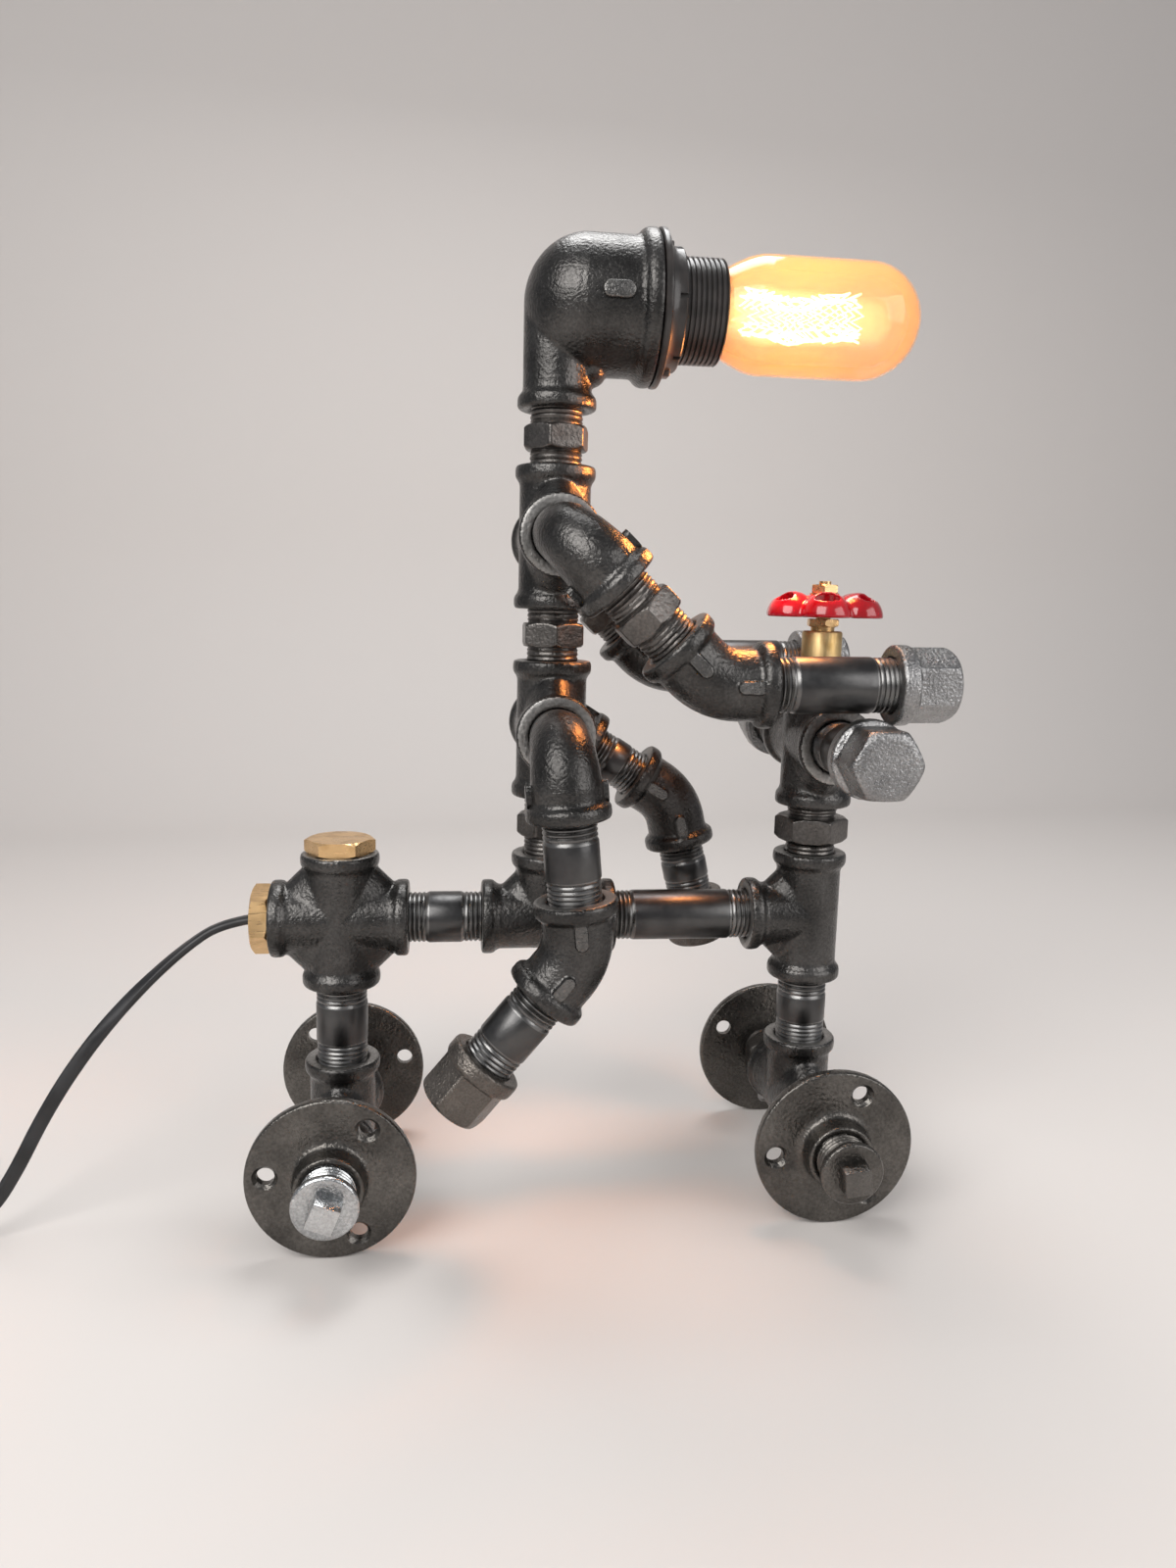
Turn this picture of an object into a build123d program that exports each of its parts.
"""Table lamp made of half-inch pipe fittings: a figure on a four-wheeled cart, with a bulb for a head.

Everything is placed in the cart's own frame first: X forward along the base pipe, Y to the figure's
left, Z up the torso, zero where the torso axis meets the base pipe. The front column is shorter than
the rear one, so the whole lamp then leans forward until its four wheels stand on the table.
"""

from build123d import *
from math import atan2, cos, degrees, pi, radians, sin, sqrt, tan
import os

os.makedirs("parts", exist_ok=True)
ON_FLOOR = (Align.CENTER, Align.CENTER, Align.MIN)

# Half-inch pipe thread, shared by every fitting
PIPE_OD = 21.3
PIPE_BORE = 16.0
THREAD_OD = 20.8
SOCKET_DEPTH = 13.0
THREAD_RUNOUT = 6.0
RUN_FIT = 0.05
RUN_GAP = 0.3

# Cast tees and crosses
ARM_REACH = 28.0
TEE_BODY_OD = 27.2
TEE_BEAD_OD = 31.2
CROSS_BODY_OD = 28.4
CROSS_BEAD_OD = 32.0
BEAD_LENGTH = 6.5
BEAD_LIP = 0.9
CROSS_WEB = 25.0
TEE_WEB = 22.0
WEB_SINK = 0.6

# Elbows
STREET_REACH = 28.0
STREET_MALE_REACH = 37.0
STREET_BEND = 16.5
BEND_REACH = 22.0
BEND_RADIUS = 24.0
BEND_TURN = 45.0
LUG_LENGTH = 9.0
LUG_WIDTH = 4.4
LUG_RISE = 1.0

# Hex nipples and caps
HEX_AF = 23.5
HEX_HEIGHT = 9.5
HEX_NECK_OD = 20.0
RISER_HEX_AF = 27.0
RISER_HEX_HEIGHT = 10.5
RISER_NECK_OD = 19.0
RISER_TURN = -18.0
PELVIS_TURN = 0.0
WAIST_TURN = 32.0
NECK_TURN = 15.0
CAP_BAND_OD = 30.5
CAP_BAND = 6.5
CAP_AF = 25.0
CAP_LENGTH = 24.0
CAP_EDGE = 4.0
CAP_LIP = 0.7

# Pipe that shows between two fittings
REAR_BASE_GAP = 30.0
FRONT_BASE_GAP = 57.5
REAR_DROP_GAP = 32.5
FRONT_DROP_GAP = 27.5
AXLE_GAP = 20.0
SEAT_GAP = 24.0
WAIST_GAP = 20.5
NECK_GAP = 21.0
RISER_GAP = 20.5
BAR_GAP = 29.0

# Wheels: three-hole floor flanges, and the square-head plugs that lock them
WHEEL_OD = 65.0
WHEEL_PLATE = 4.5
WHEEL_EDGE = 0.8
BOSS_OD = 26.8
BOSS_HEIGHT = 8.5
BOSS_FILLET = 3.0
BOLT_HOLE = 7.0
BOLT_SINK = 9.6
BOLT_CIRCLE = 49.0
BOLT_COUNT = 3
WHEEL_TURNS = {"right_rear": 55, "left_rear": 14, "right_front": 66, "left_front": 152}
PLUG_DISC_OD = 25.2
PLUG_DISC = 3.5
PLUG_STANDOFF = 8.5
PLUG_SQUARE = 10.4
PLUG_SQUARE_HEIGHT = 7.0
PLUG_TURNS = {"right_rear": -22, "left_rear": 10, "right_front": 8, "left_front": 30}

# Brass plugs at the back of the cart
BRASS_AF = 25.0
BRASS_CHAMFER = 1.0
TOP_PLUG_HEAD = 6.0
CORD_PLUG_HEAD = 7.2
CORD_PLUG_TURN = 44.0
BUSH_OD = 10.0

# Arms and legs: gap at the first nipple, gap at the second, and degrees below forward
RIGHT_ARM = (27.0, 46.0, 44.3)
LEFT_ARM = (24.0, 43.0, 44.3)
RIGHT_LEG = (30.6, 31.5, 84.5)
LEFT_LEG = (23.5, 24.5, 32.0)

# Head elbow, lampholder and bulb
HEAD_RISE = 39.8
HEAD_REACH = 37.0
HEAD_BODY_OD = 52.2
HEAD_BEAD_OD = 58.4
HEAD_BEAD = 7.0
HEAD_MOUTH_OD = 42.0
HEAD_BACK = 11.0
HEAD_NECK_OD = 27.0
HEAD_LUG = (12.5, 6.4)
RING_OD = 58.8
RING_PLATE = 3.2
RING_COLLAR_OD = 46.0
RING_LENGTH = 9.5
SKIRT_OD = 39.6
SKIRT_LENGTH = 26.5
SKIRT_EDGE = 2.5
SKIRT_TAIL = 20.0
SKIRT_BORE = 34.0
HOLDER_FLOOR = 7.0
SHELL_LENGTH = 24.0
SHELL_WALL = 0.6
LAMP_CAP_OD = 26.4
LAMP_CAP_LENGTH = 25.5
LAMP_TIP_OD = 9.0
LAMP_TIP = 2.0
BULB_OD = 45.0
BULB_LENGTH = 93.6
BULB_NECK_OD = 25.0
BULB_SHOULDER = 30.0
BULB_WALL = 0.8
MOUNT_OD = 9.0
MOUNT_LENGTH = 38.0
FILAMENT_OD = 1.2
FILAMENT_RING = 12.0
FILAMENT_STRANDS = 6
FILAMENT_LENGTH = 54.0

# Rotary dimmer in the handlebar, under a tap handwheel
BONNET_OD = 16.6
BONNET_HEIGHT = 17.6
BONNET_HEX_AF = 24.0
BONNET_HEX = 4.0
GLAND_AF = 12.0
GLAND_HEIGHT = 5.0
DIMMER_OD = 15.0
DIMMER_HEIGHT = 14.0
STEM_OD = 6.0
STEM_TIP_OD = 5.0
HANDWHEEL_OD = 51.5
HANDWHEEL_HEIGHT = 11.2
HANDWHEEL_WALL = 2.4
HANDWHEEL_LOBES = 6
HANDWHEEL_HOLE = 7.4
HANDWHEEL_HOLE_CIRCLE = 37.0
HANDWHEEL_HUB_OD = 14.0
NUT_AF = 11.0
NUT_HEIGHT = 4.2

# Flex inside the pipes, and the mains cord outside them
CORD_OD = 6.0
FLEX_OFFSET = 3.2
FLEX_BEND = 8.0
FLEX_SWAY = 20.0

# The free cord's route over the table, after the bush, and the coil of what is left of it
CORD_ROUTE = [
    (-148.5, -0.4, 120.4), (-162.0, -1.6, 112.3), (-179.0, -4.0, 98.0), (-195.0, -7.0, 81.5),
    (-209.0, -10.5, 63.5), (-220.5, -14.2, 45.0), (-229.5, -18.5, 27.0), (-238.5, -23.5, 12.8),
    (-252.0, -30.6, 4.9), (-269.0, -39.4, 3.2), (-283.6, -47.0, 3.2),
]
RUN_SHARE = 0.45
COIL_TURN = 60.0
COIL_WIDTH = 18.0
COIL_HEIGHT = 18.0
COIL_EDGE = 4.0

# Two-pin mains plug, flat on the table beside the coil
TAIL_OD = 8.0
TAIL_LENGTH = 18.0
MAINS_WIDTH = 35.3
MAINS_HEIGHT = 13.7
MAINS_TAPER = 22.0
MAINS_NOSE = 14.0
MAINS_TAIL_WIDTH = 12.0
PIN_OD = 4.0
PIN_LENGTH = 19.0
PIN_SPACING = 18.6


def lathe(*edges):
    """Solid of revolution about Z from a closed profile in X (radius) and Z."""
    return revolve(Plane.XZ * make_face(edges), Axis.Z)


def turned(*points):
    """Solid of revolution about Z from the corners of its profile."""
    return revolve(Plane.XZ * make_face(Polyline(*points, close=True)), Axis.Z)


def rod(diameter, start, end):
    """Cylinder on the Z axis between two heights."""
    return Pos(0, 0, start) * Cylinder(diameter / 2, end - start, align=ON_FLOOR)


def hexagon(across_flats, start, end):
    """Hexagonal prism on the Z axis between two heights."""
    outline = RegularPolygon(across_flats / 2, 6, major_radius=False)
    return Pos(0, 0, start) * extrude(outline, end - start)


def along(shape, direction, origin=(0, 0, 0), across=None):
    """Lay a shape's Z axis along a direction, and its X axis across it where that matters."""
    return Plane(origin, x_dir=across, z_dir=direction) * shape


def fuse(shapes):
    shapes = list(shapes)
    whole = shapes[0]
    for shape in shapes[1:]:
        whole += shape
    return whole


def cast_arm(reach, body_od, bead_od):
    """Outside of one arm of a cast fitting: a round body that ends in a rolled bead."""
    body, bead, start = body_od / 2, bead_od / 2, reach - BEAD_LENGTH
    return lathe(
        Line((0, 0), (body, 0)),
        Line((body, 0), (body, start)),
        ThreePointArc((body, start), (bead, start + 0.55 * BEAD_LENGTH), (bead - BEAD_LIP, reach)),
        Line((bead - BEAD_LIP, reach), (0, reach)),
        Line((0, reach), (0, 0)),
    )


def cast_socket(reach):
    """Threaded socket and the passage behind it, to be cut out of an arm."""
    return rod(PIPE_BORE, 0, reach) + rod(THREAD_OD, reach - SOCKET_DEPTH, reach)


def corner_web(web, body_od):
    """Flattened spheroid in the XZ plane, which fills the corners between arms."""
    depth = body_od / 2 - WEB_SINK
    rim = EllipticalCenterArc((0, 0), web, depth, start_angle=-90, arc_size=180)
    return revolve(make_face([rim, Line((0, depth), (0, -depth))]), Axis.Y)


def cast_fitting(directions, web, body_od, bead_od):
    """Equal arms from one centre, webs between them, and a socket in each."""
    body = fuse([web, *(along(cast_arm(ARM_REACH, body_od, bead_od), way) for way in directions)])
    for way in directions:
        body -= along(cast_socket(ARM_REACH), way)
    return body


def cross():
    """Four arms, along X and Z."""
    web = corner_web(CROSS_WEB, CROSS_BODY_OD)
    return cast_fitting(((1, 0, 0), (-1, 0, 0), (0, 0, 1), (0, 0, -1)), web, CROSS_BODY_OD, CROSS_BEAD_OD)


def tee():
    """Run along X, branch up Z."""
    web = corner_web(TEE_WEB, TEE_BODY_OD) & Pos(0, 0, TEE_WEB) * Box(2 * TEE_WEB, 2 * TEE_WEB, 2 * TEE_WEB)
    return cast_fitting(((1, 0, 0), (-1, 0, 0), (0, 0, 1)), web, TEE_BODY_OD, TEE_BEAD_OD)


def barrel_nipple(gap):
    """Pipe with a thread at each end, screwed home in two sockets that are gap apart."""
    end, shank = gap / 2 + SOCKET_DEPTH, gap / 2 - THREAD_RUNOUT
    pipe = rod(THREAD_OD, -end, end) + rod(PIPE_OD, -shank, shank)
    return pipe - rod(PIPE_BORE, -end, end)


SEATED = (SOCKET_DEPTH, SOCKET_DEPTH)


def hex_nipple(gap, af=HEX_AF, height=HEX_HEIGHT, neck_od=HEX_NECK_OD, depths=SEATED, top_fit=0.0):
    """Hexagon between two threads; depths are how far each end goes in, below and above."""
    low, high = -gap / 2, gap / 2
    body = rod(THREAD_OD, low - depths[0], low + THREAD_RUNOUT / 2)
    body += rod(neck_od, low, high)
    body += rod(THREAD_OD - 2 * top_fit, high - THREAD_RUNOUT / 2, high + depths[1])
    edge = height / 8
    radius = af / sqrt(3)
    corners = turned(
        (0, -height / 2), (radius - edge, -height / 2), (radius, -height / 2 + edge),
        (radius, height / 2 - edge), (radius - edge, height / 2), (0, height / 2),
    )
    body += hexagon(af, -height / 2, height / 2) & corners
    return body - rod(PIPE_BORE, low - depths[0], high + depths[1])


def hex_cap():
    """Closed cap, mouth down at Z = 0: a round band, then a hexagon with a rounded end."""
    radius = CAP_AF / sqrt(3)
    envelope = lathe(
        Line((0, 0), (radius, 0)),
        Line((radius, 0), (radius, CAP_LENGTH - CAP_EDGE)),
        RadiusArc((radius, CAP_LENGTH - CAP_EDGE), (radius - CAP_EDGE, CAP_LENGTH), -CAP_EDGE),
        Line((radius - CAP_EDGE, CAP_LENGTH), (0, CAP_LENGTH)),
        Line((0, CAP_LENGTH), (0, 0)),
    )
    band = CAP_BAND_OD / 2
    body = hexagon(CAP_AF, 0, CAP_LENGTH) & envelope
    body += turned(
        (0, 0), (band - CAP_LIP, 0), (band, CAP_LIP),
        (band, CAP_BAND - CAP_LIP), (band - CAP_LIP, CAP_BAND), (0, CAP_BAND),
    )
    return body - rod(THREAD_OD, 0, SOCKET_DEPTH)


def street_elbow():
    """Right-angle elbow: male thread down the -Z axis, beaded socket along +X."""
    body_r = TEE_BODY_OD / 2
    hinge = Axis((STREET_BEND, 0, -STREET_BEND), (0, 1, 0))
    bend = revolve(Pos(0, 0, -STREET_BEND) * Circle(body_r), hinge, 90)
    shoulder = STREET_MALE_REACH - SOCKET_DEPTH
    taper = turned(
        (0, -shoulder), (THREAD_OD / 2 - RUN_FIT, -shoulder), (body_r, -STREET_BEND), (0, -STREET_BEND),
    )
    body = bend + taper + rod(THREAD_OD - 2 * RUN_FIT, -STREET_MALE_REACH + RUN_GAP, -shoulder)
    female = cast_arm(STREET_REACH, TEE_BODY_OD, TEE_BEAD_OD) & Pos(0, 0, STREET_BEND + 40) * Box(80, 80, 80)
    body += along(female, (1, 0, 0))
    body -= revolve(Pos(0, 0, -STREET_BEND) * Circle(PIPE_BORE / 2), hinge, 90)
    body -= rod(PIPE_BORE, -STREET_MALE_REACH, -STREET_BEND)
    body -= along(rod(PIPE_BORE, STREET_BEND, STREET_REACH), (1, 0, 0))
    return body - along(rod(THREAD_OD, STREET_REACH - SOCKET_DEPTH, STREET_REACH), (1, 0, 0))


def bend_elbow():
    """Shallow elbow: one socket faces -X, the other is turned by BEND_TURN towards +Z, with a lug by each."""
    tangent = BEND_RADIUS * tan(radians(BEND_TURN / 2))
    out = (cos(radians(BEND_TURN)), 0, sin(radians(BEND_TURN)))
    body_r = TEE_BODY_OD / 2

    def bend(radius):
        start = Plane((-tangent, 0, 0), z_dir=(1, 0, 0)) * Circle(radius)
        return revolve(start, Axis((-tangent, 0, BEND_RADIUS), (0, -1, 0)), BEND_TURN)

    arm = cast_arm(BEND_REACH, TEE_BODY_OD, TEE_BEAD_OD) & Pos(0, 0, tangent + 40) * Box(80, 80, 80)
    lug = Plane.XY * SlotOverall(LUG_LENGTH, LUG_WIDTH)
    body = bend(body_r)
    for way in ((-1, 0, 0), out):
        body += along(arm, way)
        middle = Vector(*way) * (BEND_REACH - BEAD_LENGTH - LUG_LENGTH / 4)
        for side in (1, -1):
            face = Plane(middle, x_dir=way, z_dir=(0, side, 0))
            body += face * extrude(Pos(0, 0, body_r - 1.5) * lug, 1.5 + LUG_RISE)
    body -= bend(PIPE_BORE / 2)
    for way in ((-1, 0, 0), out):
        body -= along(rod(PIPE_BORE, tangent, BEND_REACH), way)
        body -= along(rod(THREAD_OD, BEND_REACH - SOCKET_DEPTH, BEND_REACH), way)
    return body


def wheel():
    """Floor flange, flat side on Z = 0 and boss up, threaded right through."""
    rim, boss, thread = WHEEL_OD / 2, BOSS_OD / 2, THREAD_OD / 2
    top = WHEEL_PLATE + BOSS_HEIGHT
    body = lathe(
        Line((thread, 0), (rim, 0)),
        Line((rim, 0), (rim, WHEEL_PLATE - WHEEL_EDGE)),
        Line((rim, WHEEL_PLATE - WHEEL_EDGE), (rim - WHEEL_EDGE, WHEEL_PLATE)),
        Line((rim - WHEEL_EDGE, WHEEL_PLATE), (boss + BOSS_FILLET, WHEEL_PLATE)),
        RadiusArc((boss + BOSS_FILLET, WHEEL_PLATE), (boss, WHEEL_PLATE + BOSS_FILLET), -BOSS_FILLET),
        Line((boss, WHEEL_PLATE + BOSS_FILLET), (boss, top - WHEEL_EDGE)),
        Line((boss, top - WHEEL_EDGE), (boss - WHEEL_EDGE, top)),
        Line((boss - WHEEL_EDGE, top), (thread, top)),
        Line((thread, top), (thread, 0)),
    )
    sink = (BOLT_SINK - BOLT_HOLE) / 2
    cone = WHEEL_PLATE - sink
    hole = rod(BOLT_HOLE, 0, WHEEL_PLATE)
    hole += turned((0, cone), (BOLT_HOLE / 2, cone), (BOLT_SINK / 2, WHEEL_PLATE), (0, WHEEL_PLATE))
    for spot in PolarLocations(BOLT_CIRCLE / 2, BOLT_COUNT):
        body -= spot * hole
    return body


def wheel_plug():
    """Square-head plug in the wheel's frame, screwed in from the boss until it meets the axle nipple."""
    inner = (WHEEL_PLATE + BOSS_HEIGHT) / 2
    disc = WHEEL_PLATE + BOSS_HEIGHT + PLUG_STANDOFF
    face, radius = disc + PLUG_DISC, PLUG_DISC_OD / 2
    body = rod(THREAD_OD, inner, disc)
    lip = PLUG_DISC / 4
    body += turned(
        (0, disc), (radius - lip, disc), (radius, disc + lip),
        (radius, face - lip), (radius - lip, face), (0, face),
    )
    head = Box(PLUG_SQUARE, PLUG_SQUARE, PLUG_SQUARE_HEIGHT, align=ON_FLOOR)
    body += Pos(0, 0, face) * chamfer(head.edges().group_by(Axis.Z)[-1], lip)
    return body


def brass_plug(head, hole_od=0.0):
    """Hexagon plug seated in a socket that opens at Z = 0."""
    radius = BRASS_AF / sqrt(3)
    corners = turned(
        (0, 0), (radius, 0), (radius, head - BRASS_CHAMFER), (radius - BRASS_CHAMFER, head), (0, head)
    )
    body = (hexagon(BRASS_AF, 0, head) & corners) + rod(THREAD_OD, -SOCKET_DEPTH, 0)
    return body - rod(hole_od, -SOCKET_DEPTH, head) if hole_od else body


def head_elbow():
    """Reducing elbow: half-inch socket down at Z = 0, wide mouth forward along +X at HEAD_RISE."""
    body_r, bead_r, neck_r = HEAD_BODY_OD / 2, HEAD_BEAD_OD / 2, HEAD_NECK_OD / 2
    back = HEAD_BACK + neck_r
    barrel = lathe(
        Line((0, HEAD_BACK), (body_r, HEAD_BACK)),
        Line((body_r, HEAD_BACK), (body_r, HEAD_REACH - HEAD_BEAD)),
        ThreePointArc(
            (body_r, HEAD_REACH - HEAD_BEAD),
            (bead_r, HEAD_REACH - 0.45 * HEAD_BEAD),
            (bead_r - BEAD_LIP, HEAD_REACH),
        ),
        Line((bead_r - BEAD_LIP, HEAD_REACH), (0, HEAD_REACH)),
        Line((0, HEAD_REACH), (0, HEAD_BACK)),
    )
    dome = lathe(
        Line((0, HEAD_BACK), (0, HEAD_BACK - back)),
        EllipticalCenterArc((0, HEAD_BACK), body_r, back, start_angle=270, arc_size=90),
        Line((body_r, HEAD_BACK), (0, HEAD_BACK)),
    )
    body = along(barrel + dome, (1, 0, 0), (0, 0, HEAD_RISE))
    neck = cast_arm(HEAD_RISE, HEAD_NECK_OD, TEE_BEAD_OD)
    body += Pos(0, 0, HEAD_RISE) * Rot(180, 0, 0) * neck
    length, width = HEAD_LUG
    face = Plane((HEAD_BACK + 0.72 * length, 0, HEAD_RISE), x_dir=(1, 0, 0), z_dir=(0, -1, 0))
    body += face * extrude(Pos(0, 0, body_r - 4) * SlotOverall(length, width), 5)
    inside = rod(HEAD_MOUTH_OD, HEAD_BACK, HEAD_REACH) + rod(PIPE_BORE, 0, HEAD_BACK)
    body -= along(inside, (1, 0, 0), (0, 0, HEAD_RISE))
    body -= rod(PIPE_BORE, 0, HEAD_RISE) + Pos(0, 0, HEAD_RISE) * Sphere(PIPE_BORE / 2)
    return body - rod(THREAD_OD, 0, SOCKET_DEPTH)


# Lampholder and bulb, along +Z from the mouth of the head elbow at Z = 0
def lampholder_body():
    """Moulded skirt with an insulating floor, held in the elbow's mouth by its tail."""
    outer, bore, tail = SKIRT_OD / 2, SKIRT_BORE / 2, HEAD_MOUTH_OD / 2
    body = lathe(
        Line((0, -SKIRT_TAIL), (tail, -SKIRT_TAIL)),
        Line((tail, -SKIRT_TAIL), (tail, 0)),
        Line((tail, 0), (outer, 0)),
        Line((outer, 0), (outer, SKIRT_LENGTH - SKIRT_EDGE)),
        RadiusArc((outer, SKIRT_LENGTH - SKIRT_EDGE), (outer - SKIRT_EDGE, SKIRT_LENGTH), -SKIRT_EDGE),
        Line((outer - SKIRT_EDGE, SKIRT_LENGTH), (0, SKIRT_LENGTH)),
        Line((0, SKIRT_LENGTH), (0, -SKIRT_TAIL)),
    )
    return body - rod(SKIRT_BORE, -SKIRT_TAIL + HOLDER_FLOOR, SKIRT_LENGTH)


def lampholder_ring():
    """Ring nut on the skirt: a thin flange on the mouth, a waisted cone and a knurled collar."""
    flange, collar, bore = RING_OD / 2, RING_COLLAR_OD / 2, SKIRT_OD / 2
    return lathe(
        Line((bore, 0), (flange - 0.8, 0)),
        ThreePointArc((flange - 0.8, 0), (flange, RING_PLATE / 2), (flange - 0.8, RING_PLATE)),
        ThreePointArc(
            (flange - 0.8, RING_PLATE), (collar + 2.2, RING_PLATE + 1.4), (collar, RING_LENGTH - 3.2)
        ),
        Line((collar, RING_LENGTH - 3.2), (collar, RING_LENGTH - 0.6)),
        Line((collar, RING_LENGTH - 0.6), (collar - 0.6, RING_LENGTH)),
        Line((collar - 0.6, RING_LENGTH), (bore, RING_LENGTH)),
        Line((bore, RING_LENGTH), (bore, 0)),
    )


def lampholder_contacts():
    """Screw shell and centre contact, both standing on the holder's floor."""
    floor = -SKIRT_TAIL + HOLDER_FLOOR
    shell = rod(LAMP_CAP_OD + 2 * SHELL_WALL, floor, floor + SHELL_LENGTH)
    shell -= rod(LAMP_CAP_OD, floor, floor + SHELL_LENGTH)
    return shell, rod(LAMP_TIP_OD, floor, floor + LAMP_TIP)


def bulb_seat():
    """Height of the bulb's foot contact."""
    return -SKIRT_TAIL + HOLDER_FLOOR + LAMP_TIP


def bulb_cap():
    """Screw cap: foot contact, insulating cone and shell."""
    foot, top = bulb_seat(), bulb_seat() + LAMP_CAP_LENGTH
    radius = LAMP_CAP_OD / 2
    return turned(
        (0, foot), (LAMP_TIP_OD / 2, foot), (LAMP_TIP_OD / 2, foot + 1.2), (radius - 1.2, foot + 5.0),
        (radius, foot + 6.2), (radius, top), (0, top),
    )


def bulb_glass():
    """Tubular glass with a swept shoulder and a rounded tip, open where it stands on the cap."""
    start = bulb_seat() + LAMP_CAP_LENGTH
    shoulder, tip = start + BULB_SHOULDER, start + BULB_LENGTH
    dome = tip - BULB_OD / 2

    def half(inset):
        neck, radius = BULB_NECK_OD / 2 - inset, BULB_OD / 2 - inset
        middle = ((neck + radius) / 2, start + BULB_SHOULDER / 2)
        return (
            TangentArc((neck, start), middle, tangent=(0, 1)),
            TangentArc((radius, shoulder), middle, tangent=(0, -1)),
            Line((radius, shoulder), (radius, dome)),
            CenterArc((0, dome), radius, start_angle=0, arc_size=90),
        )

    rims = (
        Line((BULB_NECK_OD / 2 - BULB_WALL, start), (BULB_NECK_OD / 2, start)),
        Line((0, tip - BULB_WALL), (0, tip)),
    )
    return lathe(*half(0.0), *half(BULB_WALL), *rims)


def bulb_mount():
    """Glass stem that carries the filament, standing on the cap."""
    start = bulb_seat() + LAMP_CAP_LENGTH
    stem, neck = MOUNT_OD / 4, MOUNT_OD / 2
    return turned(
        (0, start), (neck, start), (neck, start + MOUNT_LENGTH * 0.4), (stem, start + MOUNT_LENGTH * 0.6),
        (stem, start + MOUNT_LENGTH), (0, start + MOUNT_LENGTH),
    )


def bulb_filament():
    """Cage of straight strands between two hoops, held on the stem by a spider."""
    start = bulb_seat() + LAMP_CAP_LENGTH + MOUNT_LENGTH
    low, high = start - FILAMENT_LENGTH * 0.35, start + FILAMENT_LENGTH * 0.65
    strand = Pos(FILAMENT_RING, 0, 0) * rod(FILAMENT_OD, low, high)
    spoke = along(rod(FILAMENT_OD, 0, FILAMENT_RING), (1, 0, 0), (0, 0, start + FILAMENT_OD / 2))
    cage = fuse(spot * shape for spot in PolarLocations(0, FILAMENT_STRANDS) for shape in (strand, spoke))
    for height in (low, high):
        cage += Pos(0, 0, height) * Torus(FILAMENT_RING, FILAMENT_OD / 2)
    return cage


# Dimmer and handwheel, along +Z from the top face of the handlebar cross at Z = 0
STEM_SEAT = BONNET_HEIGHT + GLAND_HEIGHT + 0.5


def dimmer_bonnet():
    """Brass bonnet: thread in the cross, thin hexagon, and a round barrel that guides the stem."""
    body = rod(THREAD_OD, -SOCKET_DEPTH, 0) + hexagon(BONNET_HEX_AF, 0, BONNET_HEX)
    body += rod(BONNET_OD, 0, BONNET_HEIGHT)
    return body - rod(STEM_OD + 2 * RUN_FIT, -SOCKET_DEPTH, BONNET_HEIGHT)


def dimmer_gland():
    body = hexagon(GLAND_AF, BONNET_HEIGHT, BONNET_HEIGHT + GLAND_HEIGHT)
    return body - rod(STEM_OD + 2 * RUN_FIT, BONNET_HEIGHT, BONNET_HEIGHT + GLAND_HEIGHT)


def dimmer_body():
    return rod(DIMMER_OD, -SOCKET_DEPTH - DIMMER_HEIGHT, -SOCKET_DEPTH)


def dimmer_stem():
    """Stem: its shoulder carries the handwheel, and its thinner tip takes the nut."""
    body = rod(STEM_OD, -SOCKET_DEPTH + RUN_GAP, STEM_SEAT)
    return body + rod(STEM_TIP_OD, STEM_SEAT, STEM_SEAT + HANDWHEEL_HEIGHT + NUT_HEIGHT - 0.4)


def handwheel():
    """Scalloped wheel: a ring of arched lobes, each with a finger hole, around a hub."""
    radius = HANDWHEEL_OD / 2
    lobe = radius * sin(pi / HANDWHEEL_LOBES) * 0.98
    centre = radius - lobe
    top = HANDWHEEL_HEIGHT
    outline = Circle(centre)
    for spot in PolarLocations(centre, HANDWHEEL_LOBES):
        outline += spot * Circle(lobe)
    dome = lathe(
        Line((0, 0), (radius, 0)),
        ThreePointArc((radius, 0), (radius - 2.2, top * 0.68), (centre + lobe * 0.25, top)),
        Line((centre + lobe * 0.25, top), (0, top)),
        Line((0, top), (0, 0)),
    )
    body = extrude(outline, top) & dome
    hollow = Circle(centre - HANDWHEEL_WALL)
    for spot in PolarLocations(centre, HANDWHEEL_LOBES):
        hollow += spot * Circle(lobe - HANDWHEEL_WALL)
    body -= extrude(hollow - Circle(HANDWHEEL_HUB_OD / 2), top - HANDWHEEL_WALL * 1.6)
    for spot in PolarLocations(HANDWHEEL_HOLE_CIRCLE / 2, HANDWHEEL_LOBES):
        body -= spot * rod(HANDWHEEL_HOLE, 0, top)
    return Pos(0, 0, STEM_SEAT) * (body - rod(STEM_TIP_OD, 0, top))


def handwheel_nut():
    seat = STEM_SEAT + HANDWHEEL_HEIGHT
    return hexagon(NUT_AF, seat, seat + NUT_HEIGHT) - rod(STEM_TIP_OD, seat, seat + NUT_HEIGHT)


def flex(points, radii):
    """Round cable swept along straight runs and tangent arcs."""
    path = FilletPolyline(*points, radius=radii) if len(points) > 2 else Polyline(*points)
    section = Plane(path @ 0, z_dir=path % 0) * Circle(CORD_OD / 2)
    return sweep(section, path=path)


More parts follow.
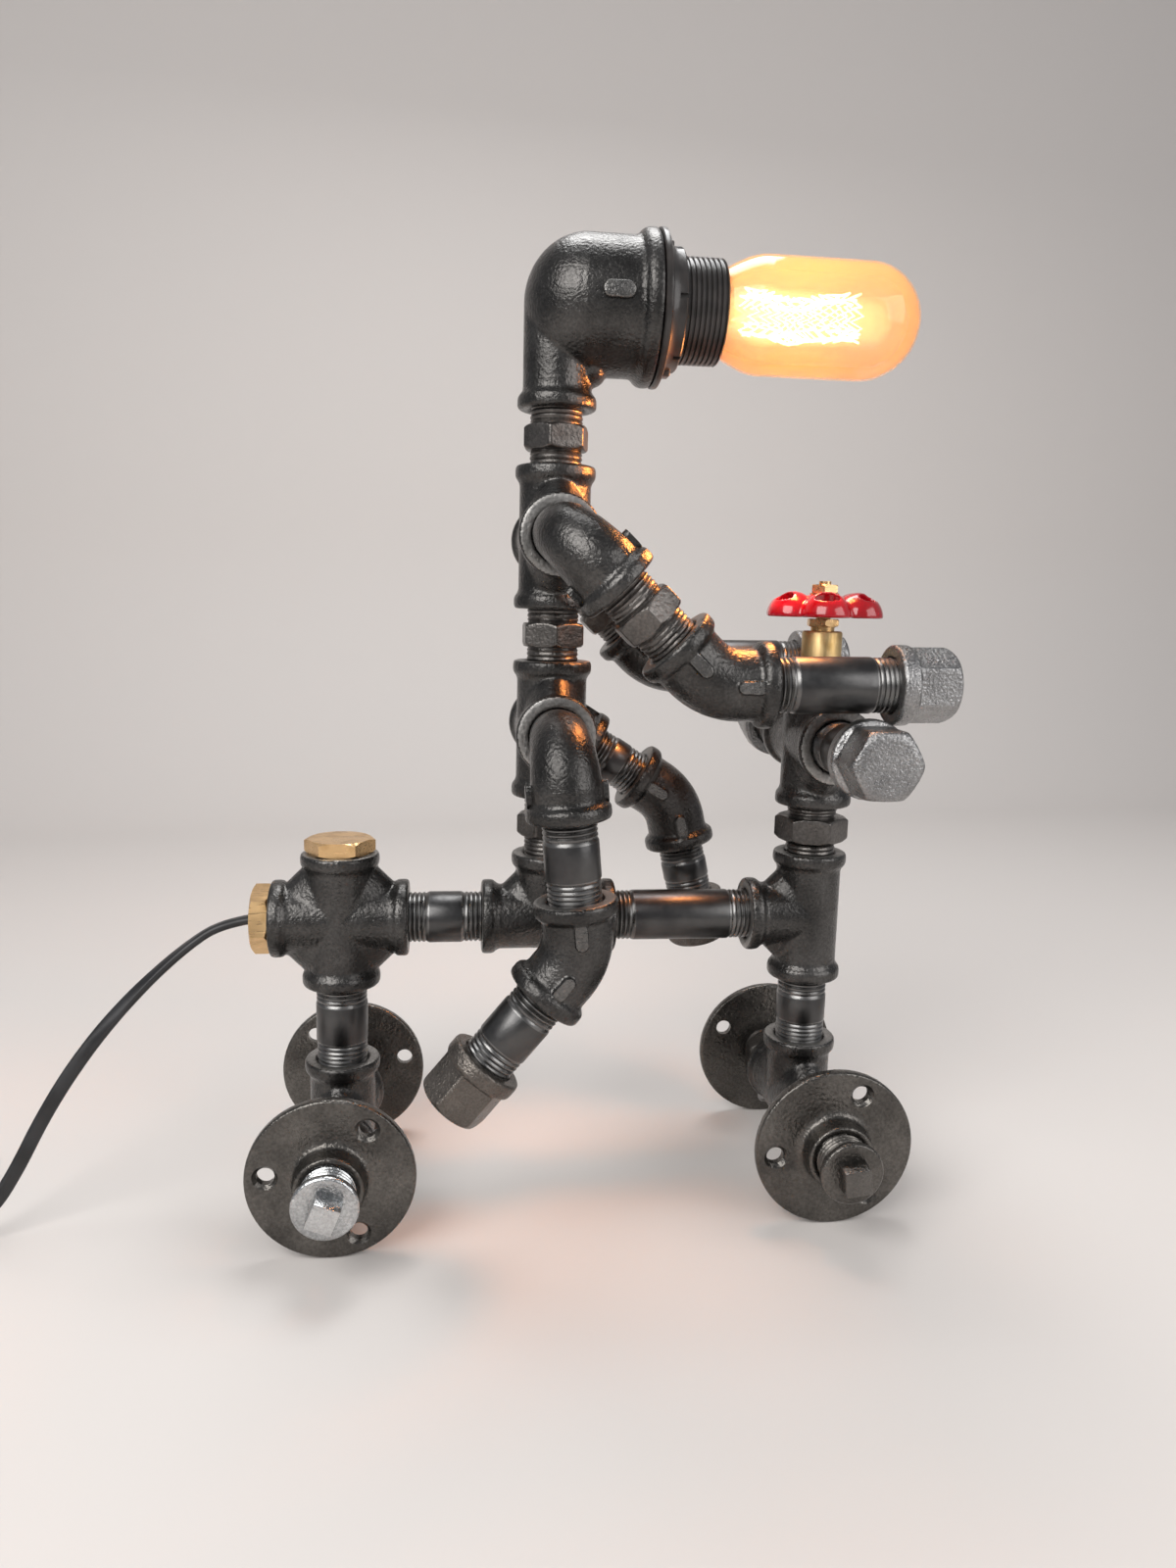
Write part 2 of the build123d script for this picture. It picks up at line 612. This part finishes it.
def mains_plug():
    """Flat two-pin plug along +Z, its tail at Z = 0, its width along Y."""
    nose = TAIL_LENGTH + MAINS_TAPER + MAINS_NOSE
    half, tail = MAINS_WIDTH / 2, MAINS_TAIL_WIDTH / 2
    side = Polyline(
        (0, -tail, TAIL_LENGTH), (0, -half, nose - MAINS_NOSE), (0, -half, nose),
        (0, half, nose), (0, half, nose - MAINS_NOSE), (0, tail, TAIL_LENGTH), close=True,
    )
    body = extrude(make_face(side), MAINS_HEIGHT / 2, dir=(1, 0, 0), both=True)
    body = chamfer(body.edges().filter_by(Axis.X, reverse=True), 2.0) + rod(TAIL_OD, 0, TAIL_LENGTH)
    pins = [Pos(0, side * PIN_SPACING / 2, 0) * rod(PIN_OD, nose, nose + PIN_LENGTH) for side in (1, -1)]
    return body, *pins


# Columns and levels in the cart's frame
UP, DOWN, FORE, BACK = (0, 0, 1), (0, 0, -1), (1, 0, 0), (-1, 0, 0)
RIGHT, LEFT = (0, -1, 0), (0, 1, 0)
rear_x = -(2 * ARM_REACH + REAR_BASE_GAP)
front_x = 2 * ARM_REACH + FRONT_BASE_GAP
rear_axle = 2 * ARM_REACH + REAR_DROP_GAP
front_axle = 2 * ARM_REACH + FRONT_DROP_GAP
hips = 2 * ARM_REACH + SEAT_GAP
shoulders = hips + 2 * ARM_REACH + WAIST_GAP
head_foot = shoulders + ARM_REACH + NECK_GAP
handlebar = 2 * ARM_REACH + RISER_GAP
wheel_face = ARM_REACH + AXLE_GAP
limb_offset = ARM_REACH - SOCKET_DEPTH + STREET_MALE_REACH

nodes = {}


def keep(name, *shapes):
    nodes[name] = list(shapes)


# Base: rear cross, seat tee and front tee on one pipe
keep("rear_cross", Pos(rear_x, 0, 0) * cross())
keep("rear_top_plug", Pos(rear_x, 0, ARM_REACH) * brass_plug(TOP_PLUG_HEAD))
cord_plug_x = rear_x - ARM_REACH
cord_exit_x = cord_plug_x - CORD_PLUG_HEAD
corner_up = (0, -cos(radians(CORD_PLUG_TURN)), sin(radians(CORD_PLUG_TURN)))
keep("cord_plug", along(brass_plug(CORD_PLUG_HEAD, BUSH_OD), BACK, (cord_plug_x, 0, 0), corner_up))
bush = rod(BUSH_OD, -SOCKET_DEPTH, CORD_PLUG_HEAD) - rod(CORD_OD, -SOCKET_DEPTH, CORD_PLUG_HEAD)
keep("cord_bush", along(bush, BACK, (cord_plug_x, 0, 0)))
keep("seat_tee", tee())
keep("front_tee", along(tee(), BACK, (front_x, 0, 0), UP))
keep(
    "base_nipples",
    along(barrel_nipple(REAR_BASE_GAP), FORE, (-ARM_REACH - REAR_BASE_GAP / 2, 0, 0)),
    along(barrel_nipple(FRONT_BASE_GAP), FORE, (ARM_REACH + FRONT_BASE_GAP / 2, 0, 0)),
)

# Columns down to the axles, and the four wheels
axles = {"rear": (rear_x, rear_axle, REAR_DROP_GAP), "front": (front_x, front_axle, FRONT_DROP_GAP)}
keep(
    "drop_nipples",
    *(Pos(x, 0, -ARM_REACH - gap / 2) * barrel_nipple(gap) for x, drop, gap in axles.values()),
)
keep("axle_tees", *(along(tee(), UP, (x, 0, -drop), LEFT) for x, drop, gap in axles.values()))
axle_nipples, wheels, plugs = [], {}, {}
wheel_grip = (WHEEL_PLATE + BOSS_HEIGHT) / 2
for end, (x, drop, gap) in axles.items():
    for side, way in (("right", RIGHT), ("left", LEFT)):
        middle = Vector(*way) * (ARM_REACH + AXLE_GAP / 2) + Vector(x, 0, -drop)
        axle_nipples.append(along(hex_nipple(AXLE_GAP, depths=(SOCKET_DEPTH, wheel_grip)), way, middle))
        corner = f"{side}_{end}"
        centre = Vector(*way) * wheel_face + Vector(x, 0, -drop)

        def spun(turn):
            return Plane(centre, x_dir=(cos(radians(turn)), 0, sin(radians(turn))), z_dir=way)

        wheels[corner] = spun(WHEEL_TURNS[corner]) * wheel()
        plugs[corner] = spun(PLUG_TURNS[corner]) * wheel_plug()
keep("axle_nipples", *axle_nipples)
keep("rear_wheels", wheels["right_rear"], wheels["left_rear"])
keep("front_wheels", wheels["right_front"], wheels["left_front"])
keep("zinc_wheel_plug", plugs["right_rear"])
keep("black_wheel_plugs", plugs["left_rear"], plugs["right_front"], plugs["left_front"])

# Torso: two crosses joined by hex nipples
keep("lower_cross", along(cross(), UP, (0, 0, hips), LEFT))
keep("upper_cross", along(cross(), UP, (0, 0, shoulders), LEFT))
neck = hex_nipple(NECK_GAP, depths=(SOCKET_DEPTH, SOCKET_DEPTH - RUN_GAP), top_fit=RUN_FIT)
keep(
    "torso_nipples",
    Pos(0, 0, ARM_REACH + SEAT_GAP / 2) * Rot(0, 0, PELVIS_TURN) * hex_nipple(SEAT_GAP),
    Pos(0, 0, hips + ARM_REACH + WAIST_GAP / 2) * Rot(0, 0, WAIST_TURN) * hex_nipple(WAIST_GAP),
    Pos(0, 0, head_foot - NECK_GAP / 2) * Rot(0, 0, NECK_TURN) * neck,
)

# Handlebar with its capped ends
riser = hex_nipple(RISER_GAP, RISER_HEX_AF, RISER_HEX_HEIGHT, RISER_NECK_OD)
keep("handlebar_riser", Pos(front_x, 0, ARM_REACH + RISER_GAP / 2) * Rot(0, 0, RISER_TURN) * riser)
keep("handlebar_cross", along(cross(), UP, (front_x, 0, handlebar), LEFT))
bar_centre = Vector(front_x, 0, handlebar)
sides = [Vector(*way) for way in (RIGHT, LEFT)]
bar_ends = [(way, bar_centre + way * (ARM_REACH + BAR_GAP)) for way in sides]
bar_nipples = [along(barrel_nipple(BAR_GAP), way, end - way * BAR_GAP / 2) for way, end in bar_ends]
keep("handlebar_nipples", *bar_nipples)
keep("handlebar_caps", *(along(hex_cap(), way, end, FORE) for way, end in bar_ends))

# Dimmer in the handlebar's top socket
dimmer_seat = Pos(front_x, 0, handlebar + ARM_REACH)
keep("dimmer_bonnet", dimmer_seat * dimmer_bonnet())
keep("dimmer_gland", dimmer_seat * dimmer_gland())
keep("dimmer_body", dimmer_seat * dimmer_body())
keep("dimmer_stem", dimmer_seat * dimmer_stem())
keep("handwheel", dimmer_seat * handwheel())
keep("handwheel_nut", dimmer_seat * handwheel_nut())

# Head: reducing elbow, lampholder and bulb
head_seat = Pos(0, 0, head_foot)
mouth = Plane((HEAD_REACH, 0, head_foot + HEAD_RISE), x_dir=(0, 1, 0), z_dir=FORE)
keep("head_elbow", head_seat * head_elbow())
keep("lampholder_body", mouth * lampholder_body())
keep("lampholder_ring", mouth * lampholder_ring())
keep("lampholder_contacts", *(mouth * piece for piece in lampholder_contacts()))
keep("bulb_cap", mouth * bulb_cap())
keep("bulb_glass", mouth * bulb_glass())
keep("bulb_mount", mouth * bulb_mount())
keep("bulb_filament", mouth * bulb_filament())

# Flex inside the pipes: in from the cord plug to the dimmer, and back from it up to the head
dimmer_foot = handlebar + ARM_REACH - SOCKET_DEPTH - DIMMER_HEIGHT
twist = head_foot + SOCKET_DEPTH
feed = flex(
    [
        (cord_exit_x, 0, 0), (rear_x - FLEX_SWAY / 2, 0, 0), (rear_x + FLEX_SWAY / 2, 0, -FLEX_OFFSET),
        (front_x + FLEX_OFFSET, 0, -FLEX_OFFSET), (front_x + FLEX_OFFSET, 0, dimmer_foot),
    ],
    [FLEX_SWAY, FLEX_SWAY, FLEX_BEND],
)
back = flex(
    [
        (front_x - FLEX_OFFSET, 0, dimmer_foot), (front_x - FLEX_OFFSET, 0, FLEX_OFFSET),
        (0, 0, FLEX_OFFSET), (0, 0, twist - RUN_GAP),
    ],
    [FLEX_BEND, FLEX_BEND],
)
keep("inner_flex", feed, back)
head_axis = head_foot + HEAD_RISE
tail_x = HEAD_REACH - SKIRT_TAIL
keep("head_flex", flex([(0, 0, twist), (0, 0, head_axis), (tail_x, 0, head_axis)], [FLEX_BEND]))


# Limbs: street elbow, nipple, shallow elbow, nipple and cap, all in one upright plane
def limb(side, way, hub_z, gaps, turn_down, first_nipple):
    """Pieces of an arm or a leg from its hub outwards; turn_down is degrees below forward."""
    first_gap, second_gap, slope = gaps
    centre = Vector(0, way[1] * limb_offset, hub_z)

    def heading(angle):
        return Vector(cos(radians(angle)), 0, -sin(radians(angle)))

    first = heading(slope)
    second = heading(slope + turn_down)
    bend_at = centre + first * (STREET_REACH + first_gap + BEND_REACH)
    lift = Vector(0, 1 if turn_down < 0 else -1, 0)
    return [
        Plane(centre, x_dir=first, z_dir=way) * street_elbow(),
        along(first_nipple(first_gap), first, centre + first * (STREET_REACH + first_gap / 2), lift),
        Plane(bend_at, x_dir=first, z_dir=first.cross(lift)) * bend_elbow(),
        along(barrel_nipple(second_gap), second, bend_at + second * (BEND_REACH + second_gap / 2)),
        along(hex_cap(), second, bend_at + second * (BEND_REACH + second_gap), second.cross(lift)),
    ]


ARM_NAMES = ("shoulder_elbow", "arm_nipple", "arm_elbow", "forearm_nipple", "hand_cap")
LEG_NAMES = ("hip_elbow", "thigh_nipple", "knee_elbow", "shin_nipple", "foot_cap")
limbs = (
    ("right", RIGHT, shoulders, RIGHT_ARM, -BEND_TURN, hex_nipple, ARM_NAMES),
    ("left", LEFT, shoulders, LEFT_ARM, -BEND_TURN, hex_nipple, ARM_NAMES),
    ("right", RIGHT, hips, RIGHT_LEG, BEND_TURN, barrel_nipple, LEG_NAMES),
    ("left", LEFT, hips, LEFT_LEG, BEND_TURN, barrel_nipple, LEG_NAMES),
)
for side, way, hub_z, gaps, turn_down, first_nipple, names in limbs:
    for name, piece in zip(names, limb(side, way, hub_z, gaps, turn_down, first_nipple)):
        keep(f"{side}_{name}", piece)

# Stand the lamp on the table: lean it onto its wheels, lift it, and centre its outline
lean = degrees(atan2(rear_axle - front_axle, front_x - rear_x))
leaned = {name: [Rot(0, lean, 0) * shape for shape in shapes] for name, shapes in nodes.items()}
boxes = [shape.bounding_box() for shapes in leaned.values() for shape in shapes]
outline = boxes[0]
for box in boxes[1:]:
    outline = outline.add(box)
stand = Pos(-outline.center().X, -outline.center().Y, -outline.min.Z)
finished = {name: [stand * shape for shape in shapes] for name, shapes in leaned.items()}

# Mains cord: its first point is the mouth of the bush, and the coil lies beside the end of its route
cord_exit = (stand * Rot(0, lean, 0) * Pos(cord_exit_x, 0, 0)).position
route = [cord_exit, *(Vector(*point) for point in CORD_ROUTE)]
runs = [b - a for a, b in zip(route, route[1:])]
radii = [
    RUN_SHARE * min(a.length, b.length) / tan(radians(a.get_angle(b) / 2)) for a, b in zip(runs, runs[1:])
]
cord_path = FilletPolyline(*route, radius=radii)
cord = sweep(Plane(cord_path @ 0, z_dir=cord_path % 0) * Circle(CORD_OD / 2), path=cord_path)
finished["cord"] = [cord]

heading = Vector(runs[-1].X, runs[-1].Y, 0).normalized()
inward = heading.cross(Vector(0, 0, 1))
coil_rim = (COIL_TURN + COIL_WIDTH) / 2
coil_centre = Vector(route[-1].X, route[-1].Y, 0) + inward * (coil_rim + CORD_OD / 2)
ring = rod(2 * coil_rim, 0, COIL_HEIGHT) - rod(2 * (coil_rim - COIL_WIDTH), 0, COIL_HEIGHT)
ring = fillet(ring.edges().group_by(Axis.Z)[-1], COIL_EDGE)
finished["cord_coil"] = [Pos(coil_centre) * ring]
plug_tail = coil_centre + Vector(0, -(coil_rim + TAIL_OD / 2), MAINS_HEIGHT / 2)
finished["mains_plug"] = [along(piece, BACK, plug_tail, UP) for piece in mains_plug()]

for name, shapes in finished.items():
    export_step(shapes[0] if len(shapes) == 1 else Compound(shapes), f"parts/{name}.step")
print("lean", round(lean, 3), "stand", stand.position, "outline", outline.size)
print("cord radii", [round(radius, 1) for radius in radii], "length", round(cord_path.length, 1))
print("cord volume", round(cord.volume), "expected", round(pi * CORD_OD**2 / 4 * cord_path.length))
print("coil centre", coil_centre, "plug tail", plug_tail)
